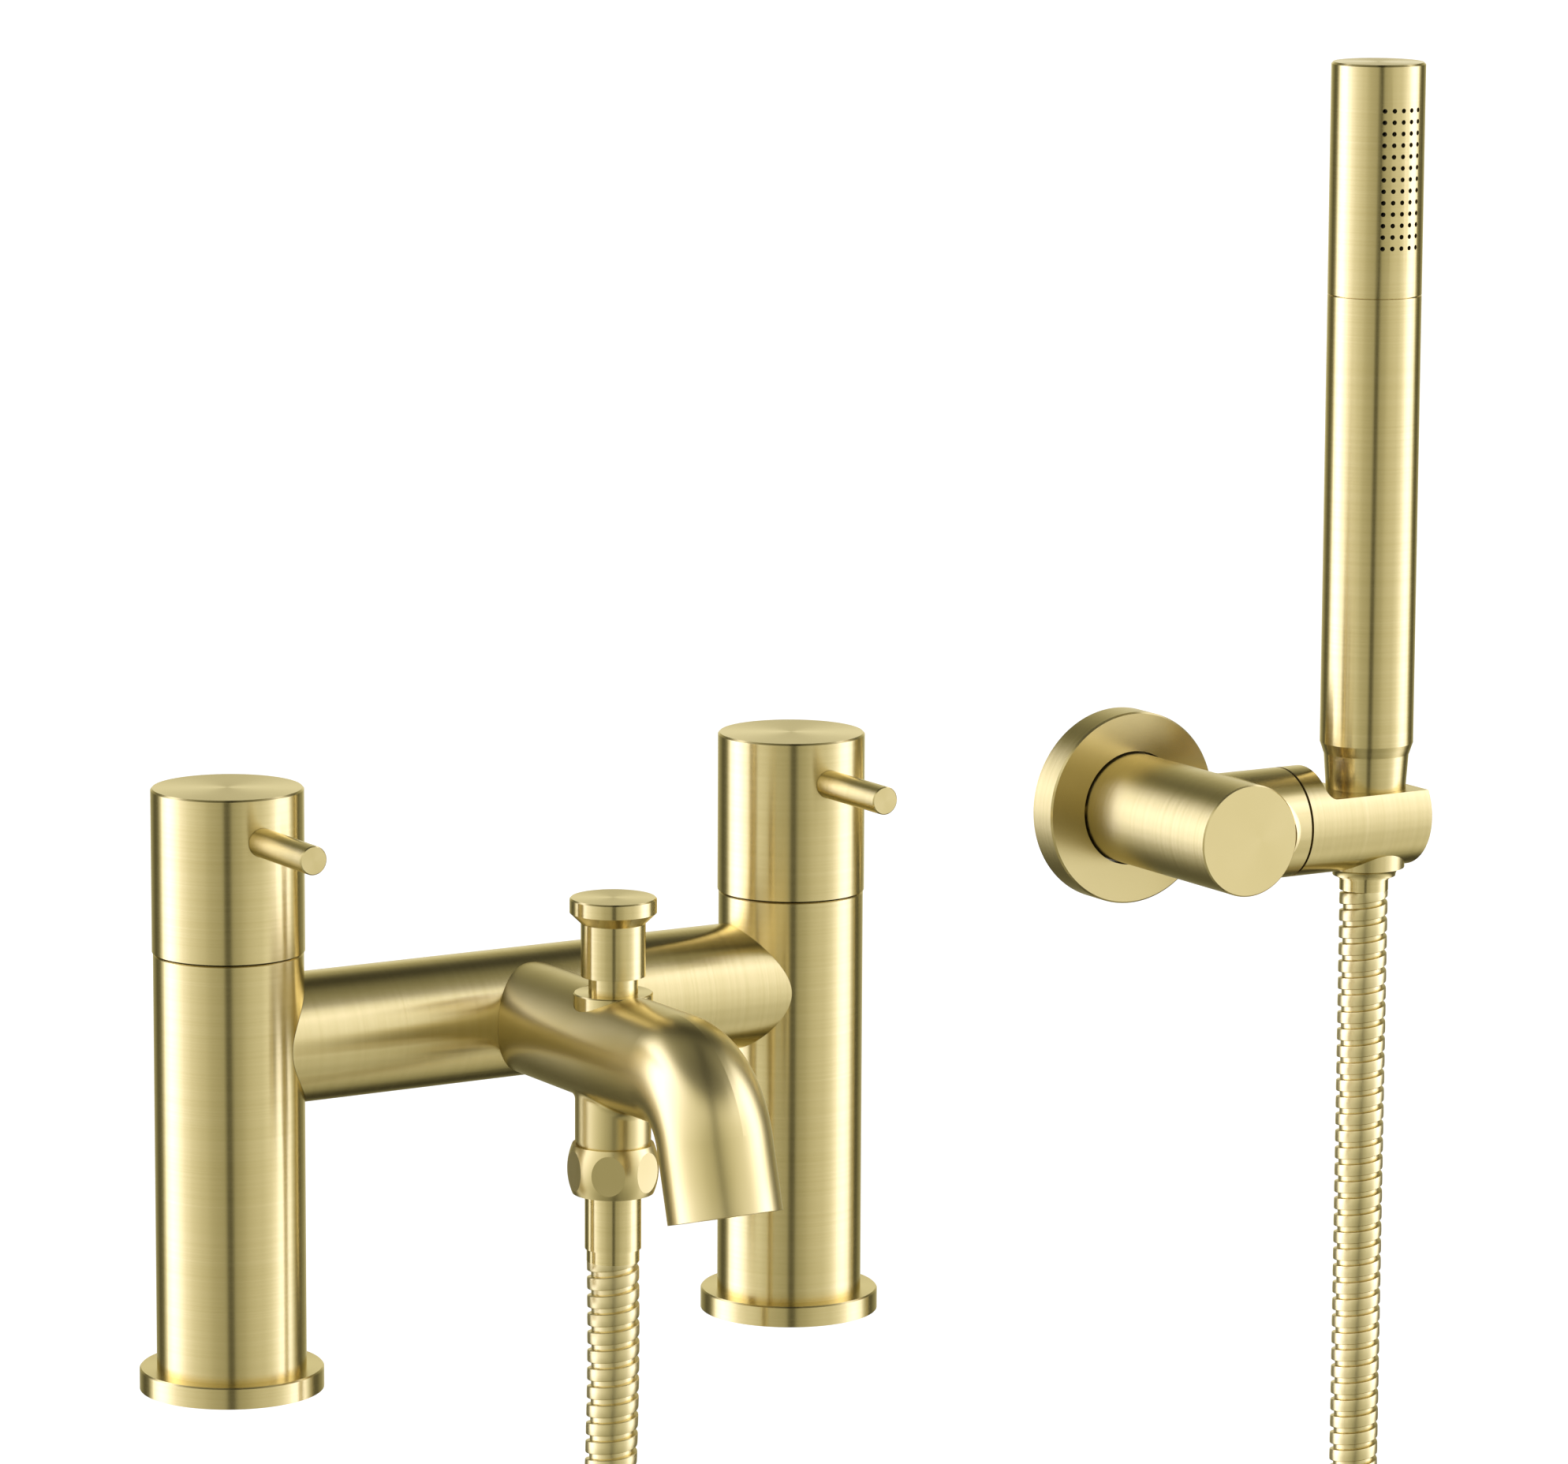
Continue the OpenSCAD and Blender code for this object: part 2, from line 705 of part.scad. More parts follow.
module bracket_arm() {
    color(brass) difference() {
        union() {
            along_y(wall_y) topped(post_d / 2, wall_plate_h, post_reach, 0.4);
            along_x(bracket_x) cylinder(d = arm_d, h = arm_end_x - bracket_x);
        }
        along_y(wall_y) cylinder(r = boss_plug_r + gap, h = wall_plate_h + boss_plug_l + 0.5);
        along_x(arm_end_x - swivel_depth) cylinder(r = swivel_r + gap, h = swivel_depth + 4);
        at_post_screw() cylinder(r = grub_r, h = post_d);
    }
}

// Frame at the post's axis above the grub screw, with +Z pointing down
module at_post_screw() {
    translate([bracket_x, post_screw_y, bracket_z]) rotate([180, 0, 0]) children();
}

module post_screw() {
    end_z = 16;
    socket_h = 2;
    color(steel) at_post_screw() difference() {
        cylinder_between(grub_r - gap, boss_plug_r, end_z);
        cylinder_between(grub_socket_r, end_z - socket_h, end_z + over, 6);
    }
}

module swivel_washer() {
    washer_disc_r = 13;
    color(plastic) along_x(arm_end_x + gap)
        tube(washer_disc_r, 0, seam_gap - 2 * gap, swivel_r + 0.1);
}

module swivel_bolt() {
    shank_l = 15.5;
    head_h = 4;
    socket_z = 1.5;
    socket_r = 2.9;
    color(steel) union() {
        along_x(arm_end_x - shank_l)
            cylinder(r = swivel_r, h = swivel_head_x - arm_end_x + shank_l + 0.1);
        along_x(swivel_head_x) difference() {
            cylinder(r = swivel_head_r, h = head_h);
            translate([0, 0, socket_z]) cylinder(r = socket_r, h = head_h, $fn = 6);
        }
    }
}

// Underside boss that flares into the holder with a round fillet
module holder_boss() {
    low_r = 9.4;
    flare = 2.6;
    rotate_extrude() difference() {
        translate([0, holder_boss_z]) square([low_r + flare, 8]);
        translate([low_r + flare, holder_boss_z]) circle(r = flare);
    }
}

module holder() {
    slope = (cone_high_r - cone_low_r) / (handset_bottom - cone_low_z);
    top_r = cone_low_r + slope * (holder_flat_z + over - cone_low_z) + cup_gap;
    low_r = cone_low_r + slope * (cup_floor_z - cone_low_z) + cup_gap;
    color(brass) difference() {
        union() {
            along_x(holder_x) cylinder(d = arm_d, h = holder_end_x - holder_x);
            at_handset() holder_boss();
        }
        translate([holder_wall_x, arm_y + arm_d, holder_flat_z]) rotate([90, 0, 0])
            linear_extrude(2 * arm_d) difference() {
                square([60, 20]);
                difference() {
                    square([holder_fillet, holder_fillet]);
                    translate([holder_fillet, holder_fillet]) circle(r = holder_fillet);
                }
            }
        at_handset() {
            translate([0, 0, cup_floor_z])
                cylinder(r1 = low_r, r2 = top_r, h = holder_flat_z + over - cup_floor_z);
            cylinder_between(ferrule_r + 0.3, holder_boss_z - over, cup_floor_z + over);
            translate([-hose_slot_w / 2, 0, holder_boss_z - over]) cube([hose_slot_w, arm_d, 40]);
        }
        along_x(holder_x - over) cylinder(r = swivel_r + gap, h = 20);
        along_x(swivel_head_x - gap) cylinder(r = swivel_head_r + gap, h = 20);
    }
}

// ---- handset ----

module cone_nut() {
    lip_top = 123.95;
    thread_low = 129.1;
    color(brass) at_handset() difference() {
        translate([0, 0, cone_low_z])
            cylinder(r1 = cone_low_r, r2 = cone_high_r, h = handset_bottom - cone_low_z);
        cylinder_between(ferrule_r + 0.1, cone_low_z - over, handset_bottom);
        cylinder_between(ferrule_head_r + 0.1, lip_top, handset_bottom);
        cylinder_between(handset_thread_r + gap, thread_low, handset_bottom + over);
    }
}

module handset_washer() {
    washer_top = 129;
    color(rubber) at_handset()
        tube(washer_r, handset_ferrule_top + 0.02, washer_top, washer_bore_r);
}

module handset_inlet() {
    inlet_top = 160;
    bore_r = 5;
    color(raw_brass) at_handset() difference() {
        union() {
            cylinder_between(handset_thread_r, handset_thread_z, handset_bottom + 2);
            cylinder_between(handset_bore_r - gap, handset_bottom + 0.3, inlet_top);
        }
        cylinder_between(bore_r, handset_thread_z - over, inlet_top + over);
        cylinder_between(inner_tube_r + gap, inner_tube_z - 0.1, inlet_top + over);
    }
}

module flow_restrictor() {
    restrictor_r = 4.95;
    restrictor_z = 131;
    restrictor_h = 3;
    color(plastic) at_handset()
        tube(restrictor_r, restrictor_z, restrictor_z + restrictor_h, 1.5);
}

module inner_tube() {
    bore_r = 4.5;
    color(plastic) at_handset() tube(inner_tube_r, inner_tube_z, inner_tube_top, bore_r);
}

module handset_tube() {
    foot_taper = 1.1;
    foot_h = 3.3;
    port_r = 10.5;
    color(brass) at_handset() difference() {
        rotate_extrude() polygon([
            [0, handset_bottom], [handset_r - foot_taper, handset_bottom],
            [handset_r, handset_bottom + foot_h],
            [handset_r, handset_seam - seam_half], [0, handset_seam - seam_half]
        ]);
        cylinder_between(handset_bore_r, handset_bottom + 0.2, handset_top);
        cylinder_between(port_r, handset_bottom - over, handset_bottom + over);
    }
}

// Places a child at every spray hole, pointing out of the head towards the user
module at_spray_holes() {
    hole_start_r = 10;
    for (row = [0:spray_rows - 1], col = [0:spray_cols - 1])
        rotate([0, 0, spray_turn + (col - (spray_cols - 1) / 2) * spray_step])
            translate([0, -hole_start_r, spray_top - row * spray_pitch]) rotate([90, 0, 0]) children();
}

module handset_head() {
    wall = 1.3;
    color(brass) at_handset() difference() {
        union() {
            topped(handset_r, handset_seam + seam_half, handset_top, 0.6);
            cylinder_between(handset_bore_r - gap, handset_seam - socket_l, handset_seam + over);
        }
        cylinder_between(handset_r - wall, handset_seam - socket_l - over, handset_top - head_top_wall);
        at_spray_holes() cylinder(d = spray_hole_d, h = spray_hole_l, $fn = 16);
    }
}

module spray_liner() {
    liner_low = 288;
    liner_bore_r = 10.9;
    floor_h = 3;
    nozzle_d = 0.8;
    color(rubber) at_handset() difference() {
        cylinder_between(handset_r - 1.35, liner_low, handset_top - head_top_wall - 0.1);
        cylinder_between(liner_bore_r, liner_low + floor_h, handset_top - head_top_wall - 2);
        cylinder_between(inner_tube_r + gap, liner_low - over, liner_low + floor_h + over);
        at_spray_holes() cylinder(d = nozzle_d, h = spray_hole_l, $fn = 16);
    }
}

base_flange(hot);  // hot_base_flange
base_seal(hot);  // hot_base_seal
pillar(hot);  // hot_pillar
valve_body(hot);  // hot_valve_body
valve_seal(hot);  // hot_valve_seal
fixed_disc(hot);  // hot_fixed_disc
moving_disc(hot);  // hot_moving_disc
spindle(hot);  // hot_spindle
spindle_oring(hot);  // hot_spindle_oring
handle(hot);  // hot_handle
lever(hot);  // hot_lever
handle_screw(hot);  // hot_handle_screw
base_flange(cold);  // cold_base_flange
base_seal(cold);  // cold_base_seal
pillar(cold);  // cold_pillar
valve_body(cold);  // cold_valve_body
valve_seal(cold);  // cold_valve_seal
fixed_disc(cold);  // cold_fixed_disc
moving_disc(cold);  // cold_moving_disc
spindle(cold);  // cold_spindle
spindle_oring(cold);  // cold_spindle_oring
handle(cold);  // cold_handle
lever(cold);  // cold_lever
handle_screw(cold);  // cold_handle_screw
crossbar();
bridge_nipples();
spout();
aerator_housing();
aerator_insert();
diverter_collar();
diverter_seat();
diverter_oring();
diverter_stem();
diverter_washer();
diverter_nut();
diverter_knob();
check_valve();
hose_nut();
hose_washer();
mixer_ferrule();
hose();
wall_flange();
wall_plate();
bracket_arm();
post_screw();
swivel_bolt();
swivel_washer();
holder();
handset_ferrule();
handset_washer();
cone_nut();
handset_inlet();
flow_restrictor();
inner_tube();
handset_tube();
handset_head();
spray_liner();
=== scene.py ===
"""The looks of a bath and shower mixer with a wall bracket, a slim handset and a spiral hose.

The pieces stand round the CAD frame, in metres and in its directions: +X to the cold side,
-Y towards the bather, +Z up.
"""
import math

import bmesh
import bpy
from mathutils import Matrix, Vector


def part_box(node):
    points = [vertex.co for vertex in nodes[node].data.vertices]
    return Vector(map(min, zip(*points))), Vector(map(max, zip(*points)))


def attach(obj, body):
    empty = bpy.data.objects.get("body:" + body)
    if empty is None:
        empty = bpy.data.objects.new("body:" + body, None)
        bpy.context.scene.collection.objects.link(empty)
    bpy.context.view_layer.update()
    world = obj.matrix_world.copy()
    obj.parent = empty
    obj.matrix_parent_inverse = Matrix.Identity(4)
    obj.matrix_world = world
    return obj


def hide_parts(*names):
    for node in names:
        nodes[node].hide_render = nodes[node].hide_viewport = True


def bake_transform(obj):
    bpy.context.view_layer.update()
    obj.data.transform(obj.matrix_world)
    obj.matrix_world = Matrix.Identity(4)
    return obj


MM = 0.001
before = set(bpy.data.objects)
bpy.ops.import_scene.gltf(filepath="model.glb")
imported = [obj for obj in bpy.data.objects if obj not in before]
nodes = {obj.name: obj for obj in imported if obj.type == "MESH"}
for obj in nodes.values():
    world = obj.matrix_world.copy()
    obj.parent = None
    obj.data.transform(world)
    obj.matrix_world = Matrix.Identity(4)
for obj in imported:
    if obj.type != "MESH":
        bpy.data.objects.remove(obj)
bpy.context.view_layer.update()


# ---- camera ----

CAMERA_AT = (-0.99066, -1.78663, 0.53091)
YAW, PITCH, ROLL = math.radians(31.11), math.radians(-9.85), math.radians(0.27)
SENSOR_MM, LENS_MM = 36.0, 170.46


def make_camera():
    data = bpy.data.cameras.new("camera")
    data.sensor_width = SENSOR_MM
    data.lens = LENS_MM
    data.clip_end = 100.0
    camera = bpy.data.objects.new("camera", data)
    bpy.context.scene.collection.objects.link(camera)
    turn = Matrix.Rotation(-YAW, 4, "Z") @ Matrix.Rotation(math.pi / 2 + PITCH, 4, "X")
    camera.matrix_world = Matrix.Translation(CAMERA_AT) @ turn @ Matrix.Rotation(ROLL, 4, "Z")
    bpy.context.scene.camera = camera


make_camera()


# ---- sizes taken from the frame ----

def middle(node):
    low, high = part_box(node)
    return (low + high) / 2


def width(node):
    low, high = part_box(node)
    return (high - low).x


BAR_Z = middle("crossbar").z
SPOUT_R = width("spout") / 2
DIVERTER = middle("diverter_knob").to_2d()
HANDSET = middle("handset_tube").to_2d()
POST_X = middle("wall_plate").x
ARM = Vector((0, HANDSET.y, middle("swivel_washer").z))
FLOOR_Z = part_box("hose")[0].z


# ---- materials ----

def node_material(name):
    material = bpy.data.materials.new(name)
    material.use_nodes = True
    tree = material.node_tree
    shader = tree.nodes["Principled BSDF"]
    return material, tree, shader


def add(tree, kind, **values):
    """A new shader node. Names with a leading underscore set inputs, the others set properties."""
    made = tree.nodes.new(kind)
    for key, value in values.items():
        if key.startswith("_"):
            made.inputs[key[1:].replace("_", " ")].default_value = value
        else:
            setattr(made, key, value)
    return made


def mixed(tree, factor, low, high):
    """A colour that goes from low to high with the factor socket."""
    mix = add(tree, "ShaderNodeMix", data_type="RGBA")
    tree.links.new(factor, mix.inputs["Factor"])
    mix.inputs["A"].default_value = (*low, 1)
    mix.inputs["B"].default_value = (*high, 1)
    return mix.outputs["Result"]


def ranged(tree, value, low, high, start=0.0, end=1.0):
    """The value socket carried from start..end to low..high, and held at its ends."""
    ramp = add(tree, "ShaderNodeMapRange", _From_Min=start, _From_Max=end, _To_Min=low, _To_Max=high)
    tree.links.new(value, ramp.inputs["Value"])
    return ramp.outputs["Result"]


def noise(tree, vector, scale, detail, roughness):
    made = add(tree, "ShaderNodeTexNoise", _Scale=scale, _Detail=detail, _Roughness=roughness)
    tree.links.new(vector, made.inputs["Vector"])
    return made.outputs["Fac"]


def joined(tree, operation, first, second):
    """The two sockets put together by a maths operation."""
    made = add(tree, "ShaderNodeMath", operation=operation)
    tree.links.new(first, made.inputs[0])
    tree.links.new(second, made.inputs[1])
    return made.outputs[0]


def bumped(tree, shader, height, strength, distance):
    bump = add(tree, "ShaderNodeBump", _Strength=strength, _Distance=distance)
    tree.links.new(height, bump.inputs["Height"])
    tree.links.new(bump.outputs["Normal"], shader.inputs["Normal"])


BRASS_LOW, BRASS_HIGH = (0.63, 0.527, 0.262), (0.69, 0.582, 0.315)
BRASS_EDGE = (0.90, 0.86, 0.68, 1)
AXES = {"X": Vector((1, 0, 0)), "Y": Vector((0, 1, 0)), "Z": Vector((0, 0, 1))}
LINE_ROUGH = (0.20, 0.26)
LINE_STRETCH = 0.8
QUARTER_TURN = 0.25      # turns the stretched highlight along the axis
CLOUD_SHARE = 0.5        # how much the slow clouds count in the roughness, beside the fine lines


def brushed_brass(name, axis):
    """Satin brass with fine lines round the axis, "X", "Y" or "Z", as a lathe leaves them."""
    material, tree, shader = node_material(name)
    place = add(tree, "ShaderNodeTexCoord").outputs["Object"]

    def lines(across, along, detail, roughness):
        """Noise that is fine along the axis and long across it, so its streaks run round the axis."""
        squeeze = add(tree, "ShaderNodeMapping")
        squeeze.inputs["Scale"].default_value = Vector((across, across, across)) + AXES[axis] * along
        tree.links.new(place, squeeze.inputs["Vector"])
        return noise(tree, squeeze.outputs["Vector"], 1.0, detail, roughness)

    fine = lines(across=18, along=2600, detail=3.0, roughness=0.65)
    streak = lines(across=5, along=900, detail=2.0, roughness=0.5)
    shade = ranged(tree, joined(tree, "ADD", fine, streak), 0.0, 1.0, start=0.6, end=1.4)
    tree.links.new(mixed(tree, shade, BRASS_LOW, BRASS_HIGH), shader.inputs["Base Color"])
    blend = add(tree, "ShaderNodeMath", operation="MULTIPLY_ADD")
    tree.links.new(noise(tree, place, scale=28.0, detail=2.0, roughness=0.5), blend.inputs[0])
    blend.inputs[1].default_value = CLOUD_SHARE
    tree.links.new(fine, blend.inputs[2])
    rough = ranged(tree, blend.outputs[0], *LINE_ROUGH, start=0.4, end=1.1)
    tree.links.new(rough, shader.inputs["Roughness"])
    bumped(tree, shader, fine, strength=0.08, distance=0.00004)
    tangent = add(tree, "ShaderNodeTangent", direction_type="RADIAL", axis=axis)
    tree.links.new(tangent.outputs["Tangent"], shader.inputs["Tangent"])
    shader.inputs["Metallic"].default_value = 1.0
    shader.inputs["Specular Tint"].default_value = BRASS_EDGE
    shader.inputs["Anisotropic"].default_value = LINE_STRETCH
    shader.inputs["Anisotropic Rotation"].default_value = QUARTER_TURN
    return material


def smooth_brass(name, low=BRASS_LOW, high=BRASS_HIGH, rough=(0.28, 0.31)):
    """Satin brass with an even fine grain, for bent, hexagonal and inner pieces and the hose."""
    material, tree, shader = node_material(name)
    place = add(tree, "ShaderNodeTexCoord").outputs["Object"]
    grain = noise(tree, place, scale=2600.0, detail=3.0, roughness=0.6)
    cloud = noise(tree, place, scale=35.0, detail=2.0, roughness=0.5)
    shade = ranged(tree, cloud, 0, 1, start=0.35, end=0.65)
    tree.links.new(mixed(tree, shade, low, high), shader.inputs["Base Color"])
    tree.links.new(ranged(tree, grain, *rough, start=0.35, end=0.65), shader.inputs["Roughness"])
    bumped(tree, shader, grain, strength=0.03, distance=0.00001)
    shader.inputs["Metallic"].default_value = 1.0
    shader.inputs["Specular Tint"].default_value = BRASS_EDGE
    return material


def plain(name, low, high, rough, metallic=0.0):
    """Rubber, plastic, ceramic or steel with a little mottling."""
    material, tree, shader = node_material(name)
    place = add(tree, "ShaderNodeTexCoord").outputs["Object"]
    grain = noise(tree, place, scale=120.0, detail=4.0, roughness=0.6)
    shade = ranged(tree, grain, 0.0, 1.0, start=0.3, end=0.7)
    tree.links.new(mixed(tree, shade, low, high), shader.inputs["Base Color"])
    tree.links.new(ranged(tree, grain, *rough, start=0.3, end=0.7), shader.inputs["Roughness"])
    bumped(tree, shader, grain, strength=0.15, distance=0.00005)
    shader.inputs["Metallic"].default_value = metallic
    return material


round_x = brushed_brass("brass_round_x", "X")
round_y = brushed_brass("brass_round_y", "Y")
round_z = brushed_brass("brass_round_z", "Z")
satin = smooth_brass("brass_satin")
# The hose's brass is a lighter copy of the body brass. It is painted lighter so that the hose shows
# brighter, as it does in the light: painted light.
painted_light_hose_brass = smooth_brass("brass_hose_painted_light", (0.70, 0.60, 0.33), (0.76, 0.65, 0.38), (0.28, 0.34))
machined = smooth_brass("brass_machined", (0.50, 0.38, 0.16), (0.58, 0.45, 0.20), (0.3, 0.4))
rubber = plain("rubber_black", (0.012, 0.012, 0.012), (0.03, 0.03, 0.03), (0.5, 0.7))
spray_rubber = plain("rubber_spray", (0.010, 0.009, 0.008), (0.022, 0.02, 0.018), (0.45, 0.6))
ceramic = plain("ceramic_white", (0.80, 0.80, 0.77), (0.88, 0.88, 0.85), (0.1, 0.2))
plastic = plain("plastic_pale", (0.62, 0.63, 0.61), (0.72, 0.73, 0.71), (0.35, 0.5))
steel = plain("steel_satin", (0.42, 0.42, 0.42), (0.55, 0.55, 0.55), (0.25, 0.4), 1.0)

LOOKS = {
    round_z: ["base_flange", "pillar", "handle"],
    round_y: ["lever"],
    machined: ["valve_body", "spindle"],
    rubber: ["base_seal", "valve_seal", "spindle_oring"],
    ceramic: ["fixed_disc", "moving_disc"],
    steel: ["handle_screw"],
}
for look, names in LOOKS.items():
    for side in ("hot_", "cold_"):
        for name in names:
            nodes[side + name].data.materials[0] = look
SINGLE_LOOKS = {
    round_x: ["crossbar", "holder"],
    round_y: ["wall_flange", "bracket_arm"],
    round_z: ["diverter_collar", "diverter_stem", "diverter_knob", "mixer_ferrule", "handset_ferrule",
              "cone_nut", "handset_tube", "handset_head"],
    satin: ["spout", "aerator_housing", "hose_nut"],
    machined: ["bridge_nipples", "diverter_seat", "diverter_nut", "handset_inlet"],
    rubber: ["diverter_oring", "diverter_washer", "hose_washer", "handset_washer"],
    spray_rubber: ["spray_liner"],
    plastic: ["aerator_insert", "check_valve", "flow_restrictor", "inner_tube", "swivel_washer"],
    steel: ["wall_plate", "post_screw", "swivel_bolt"],
}
for look, names in SINGLE_LOOKS.items():
    for name in names:
        nodes[name].data.materials[0] = look


# ---- mesh helpers ----

SAME_PLACE = 1e-7


def mesh_piece(name, points, faces, material, body, smooth_angle):
    """A piece that rides on the body, if any, and is smooth except at edges sharper than the angle."""
    mesh = bpy.data.meshes.new(name)
    mesh.from_pydata([tuple(p) for p in points], [], faces)
    mesh.validate()
    piece = bpy.data.objects.new(name, mesh)
    bpy.context.scene.collection.objects.link(piece)
    form = bmesh.new()
    form.from_mesh(mesh)
    bmesh.ops.remove_doubles(form, verts=form.verts, dist=SAME_PLACE)
    bmesh.ops.dissolve_degenerate(form, edges=form.edges, dist=SAME_PLACE)
    bmesh.ops.recalc_face_normals(form, faces=form.faces)
    limit = math.radians(smooth_angle)
    for face in form.faces:
        face.smooth = True
    for edge in form.edges:
        edge.smooth = len(edge.link_faces) == 2 and edge.calc_face_angle(0) < limit
    form.to_mesh(mesh)
    form.free()
    mesh.materials.append(material)
    if body:
        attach(piece, body)
    return piece


# ---- hose ----

HOSE_D, HOSE_LENGTH = 0.0145, 1.5
BATH_FLOOR_MM, HOSE_LIFT_MM = -400, 7.3
LIE = BATH_FLOOR_MM + HOSE_LIFT_MM
HOSE_ROUTE_MM = [
    (0, -55, 36.5), (0, -55, 0), (-2, -55, -60), (-4, -55, -120), (-6, -55, -175), (-8, -55, -225),
    (-9, -55, -267), (-10, -55, -314), (-9, -69, -353), (-8, -100, -382), (-5, -141, LIE),
    (10, -196, LIE), (42, -236, LIE), (90, -259, LIE), (145, -266, LIE), (197, -258, LIE),
    (238, -232, LIE), (268, -192, LIE), (281, -144, LIE), (285, -93, LIE), (287, -56, -382),
    (288, -25, -353), (288, -11, -314), (287, -10, -267), (285, -11, -225), (284, -11, -170),
    (283.5, -11, -110), (283.5, -11, -40), (283.5, -11, 35), (283.5, -11, 106),
]
HIDDEN_END = 0.032       # stretch of hose inside the handset's ferrule, seen when the handset is lifted
HIDDEN_STEPS = 4
HIDDEN_SIZE = 0.93       # most that it takes of the outer radius
PATH_STEPS = 8
TURN_PITCH = 0.0052
AROUND = 36
# Spiral profile over one pitch: (share of the pitch, share of the outer radius)
PROFILE = [(0.0, 0.84), (0.27, 0.84), (0.29, 0.965), (0.33, 0.995), (0.55, 1.0), (0.90, 0.995),
           (0.955, 0.98), (0.985, 0.94)]


def smooth_path(route, steps):
    """Catmull-Rom points through the route, with steps points a segment."""
    points = [Vector(p) * MM for p in route]
    ends = [points[0], *points, points[-1]]
    path = []
    for a, b, c, d in zip(ends, ends[1:], ends[2:], ends[3:]):
        for k in range(steps):
            t = k / steps
            path.append(0.5 * (2 * b + (c - a) * t + (2 * a - 5 * b + 4 * c - d) * t * t
                               + (3 * b - a - 3 * c + d) * t ** 3))
    return path + [points[-1]]


class Track:
    """A path measured by length, with a side direction carried along it without twist."""

    def __init__(self, path):
        self.path = path
        self.at = [0.0]
        for a, b in zip(path, path[1:]):
            self.at.append(self.at[-1] + (b - a).length)
        before, after = [path[0], *path[:-1]], [*path[1:], path[-1]]
        self.ways = [(b - a).normalized() for a, b in zip(before, after)]
        self.sides = [Vector((1, 0, 0))]
        for way in self.ways[1:]:
            side = self.sides[-1]
            self.sides.append((side - side.dot(way) * way).normalized())
        self.length = self.at[-1]
        self.i = 0       # stretch found last, where the next search starts

    def frame(self, s):
        """The point at length s and two directions across the path there."""
        s = min(max(s, 0.0), self.length)
        while self.i > 0 and self.at[self.i] > s:
            self.i -= 1
        while self.i < len(self.at) - 2 and self.at[self.i + 1] < s:
            self.i += 1
        i = self.i
        t = (s - self.at[i]) / (self.at[i + 1] - self.at[i])
        way = self.ways[i].lerp(self.ways[i + 1], t).normalized()
        side = self.sides[i].lerp(self.sides[i + 1], t).normalized()
        return self.path[i].lerp(self.path[i + 1], t), side, way.cross(side)


def make_hose():
    """One band that winds up the route, each turn's end joined to the start of the next."""
    path = smooth_path(HOSE_ROUTE_MM, PATH_STEPS)
    top = path[-1]
    path += [top + Vector((0, 0, HIDDEN_END * k / HIDDEN_STEPS)) for k in range(1, HIDDEN_STEPS + 1)]
    track = Track(path)
    turns = math.ceil(track.length / TURN_PITCH) + 1
    points, faces = [], []
    rows = turns * AROUND
    per = len(PROFILE)
    for n in range(-AROUND, rows + 1):
        angle = 2 * math.pi * (n % AROUND) / AROUND
        for share, size in PROFILE:
            s = TURN_PITCH * (n / AROUND + share)
            if s >= track.length - HIDDEN_END:
                size = min(size, HIDDEN_SIZE)
            middle_point, side, other = track.frame(s)
            r = HOSE_D / 2 * size
            points.append(middle_point + r * (math.cos(angle) * side + math.sin(angle) * other))
    count = rows + AROUND + 1
    for n in range(count - 1):
        for k in range(per - 1):
            faces.append((n * per + k, n * per + k + 1, (n + 1) * per + k + 1, (n + 1) * per + k))
        if n + AROUND + 1 < count:
            last, first = n * per + per - 1, (n + AROUND) * per
            faces.append((last, first, first + per, last + per))
    hose = mesh_piece("hose_spiral", points, faces, painted_light_hose_brass, None, smooth_angle=30.0)
    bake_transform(hose)
    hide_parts("hose")


make_hose()


# ---- fillets that the CAD solids don't have ----

def slerp(a, b, t):
    """The direction a share t of the turn from a to b."""
    turn = a.angle(b)
    return (a * math.sin((1 - t) * turn) + b * math.sin(t * turn)) / math.sin(turn)


FILLET_STEPS = 8


def fillet_ring(name, places, corners, ball):
    """A closed ring that fills an inside corner on the mixer body. Each place has the rolling ball's centre
    and the two unit directions from it to where it touches. Its corner point lies behind, in the solids."""
    points, faces = [], []
    count = len(places)
    row = FILLET_STEPS + 2
    for (centre, first, second), corner in zip(places, corners):
        points += [centre + ball * slerp(first, second, k / FILLET_STEPS) for k in range(FILLET_STEPS + 1)]
        points.append(corner)
    for i in range(count):
        j = (i + 1) % count
        for k in range(row):
            m = (k + 1) % row
            faces.append((i * row + k, i * row + m, j * row + m, j * row + k))
    mesh_piece(name, points, faces, satin, "mixer", smooth_angle=50.0)


def boss_fillet():
    """Between the spout's underside and the round boss of the hose outlet."""
    ball, boss_r = 0.003, 0.0105
    in_boss, in_spout = 0.0004, 0.0006       # how far the hidden corner lies inside each
    around = 96
    axis = Vector((DIVERTER.x, DIVERTER.y, 0))
    places, corners = [], []
    for i in range(around):
        a = 2 * math.pi * i / around
        out = Vector((math.cos(a), math.sin(a), 0))
        centre = axis + (boss_r + ball) * out
        centre.z = BAR_Z - math.sqrt((SPOUT_R + ball) ** 2 - centre.x ** 2)
        to_axis = Vector((-centre.x, 0, BAR_Z - centre.z)).normalized()
        places.append((centre, -out, to_axis))
        corner = axis + (boss_r - in_boss) * out
        corner.z = BAR_Z - math.sqrt(SPOUT_R ** 2 - corner.x ** 2) + in_spout
        corners.append(corner)
    fillet_ring("outlet_fillet", places, corners, ball)


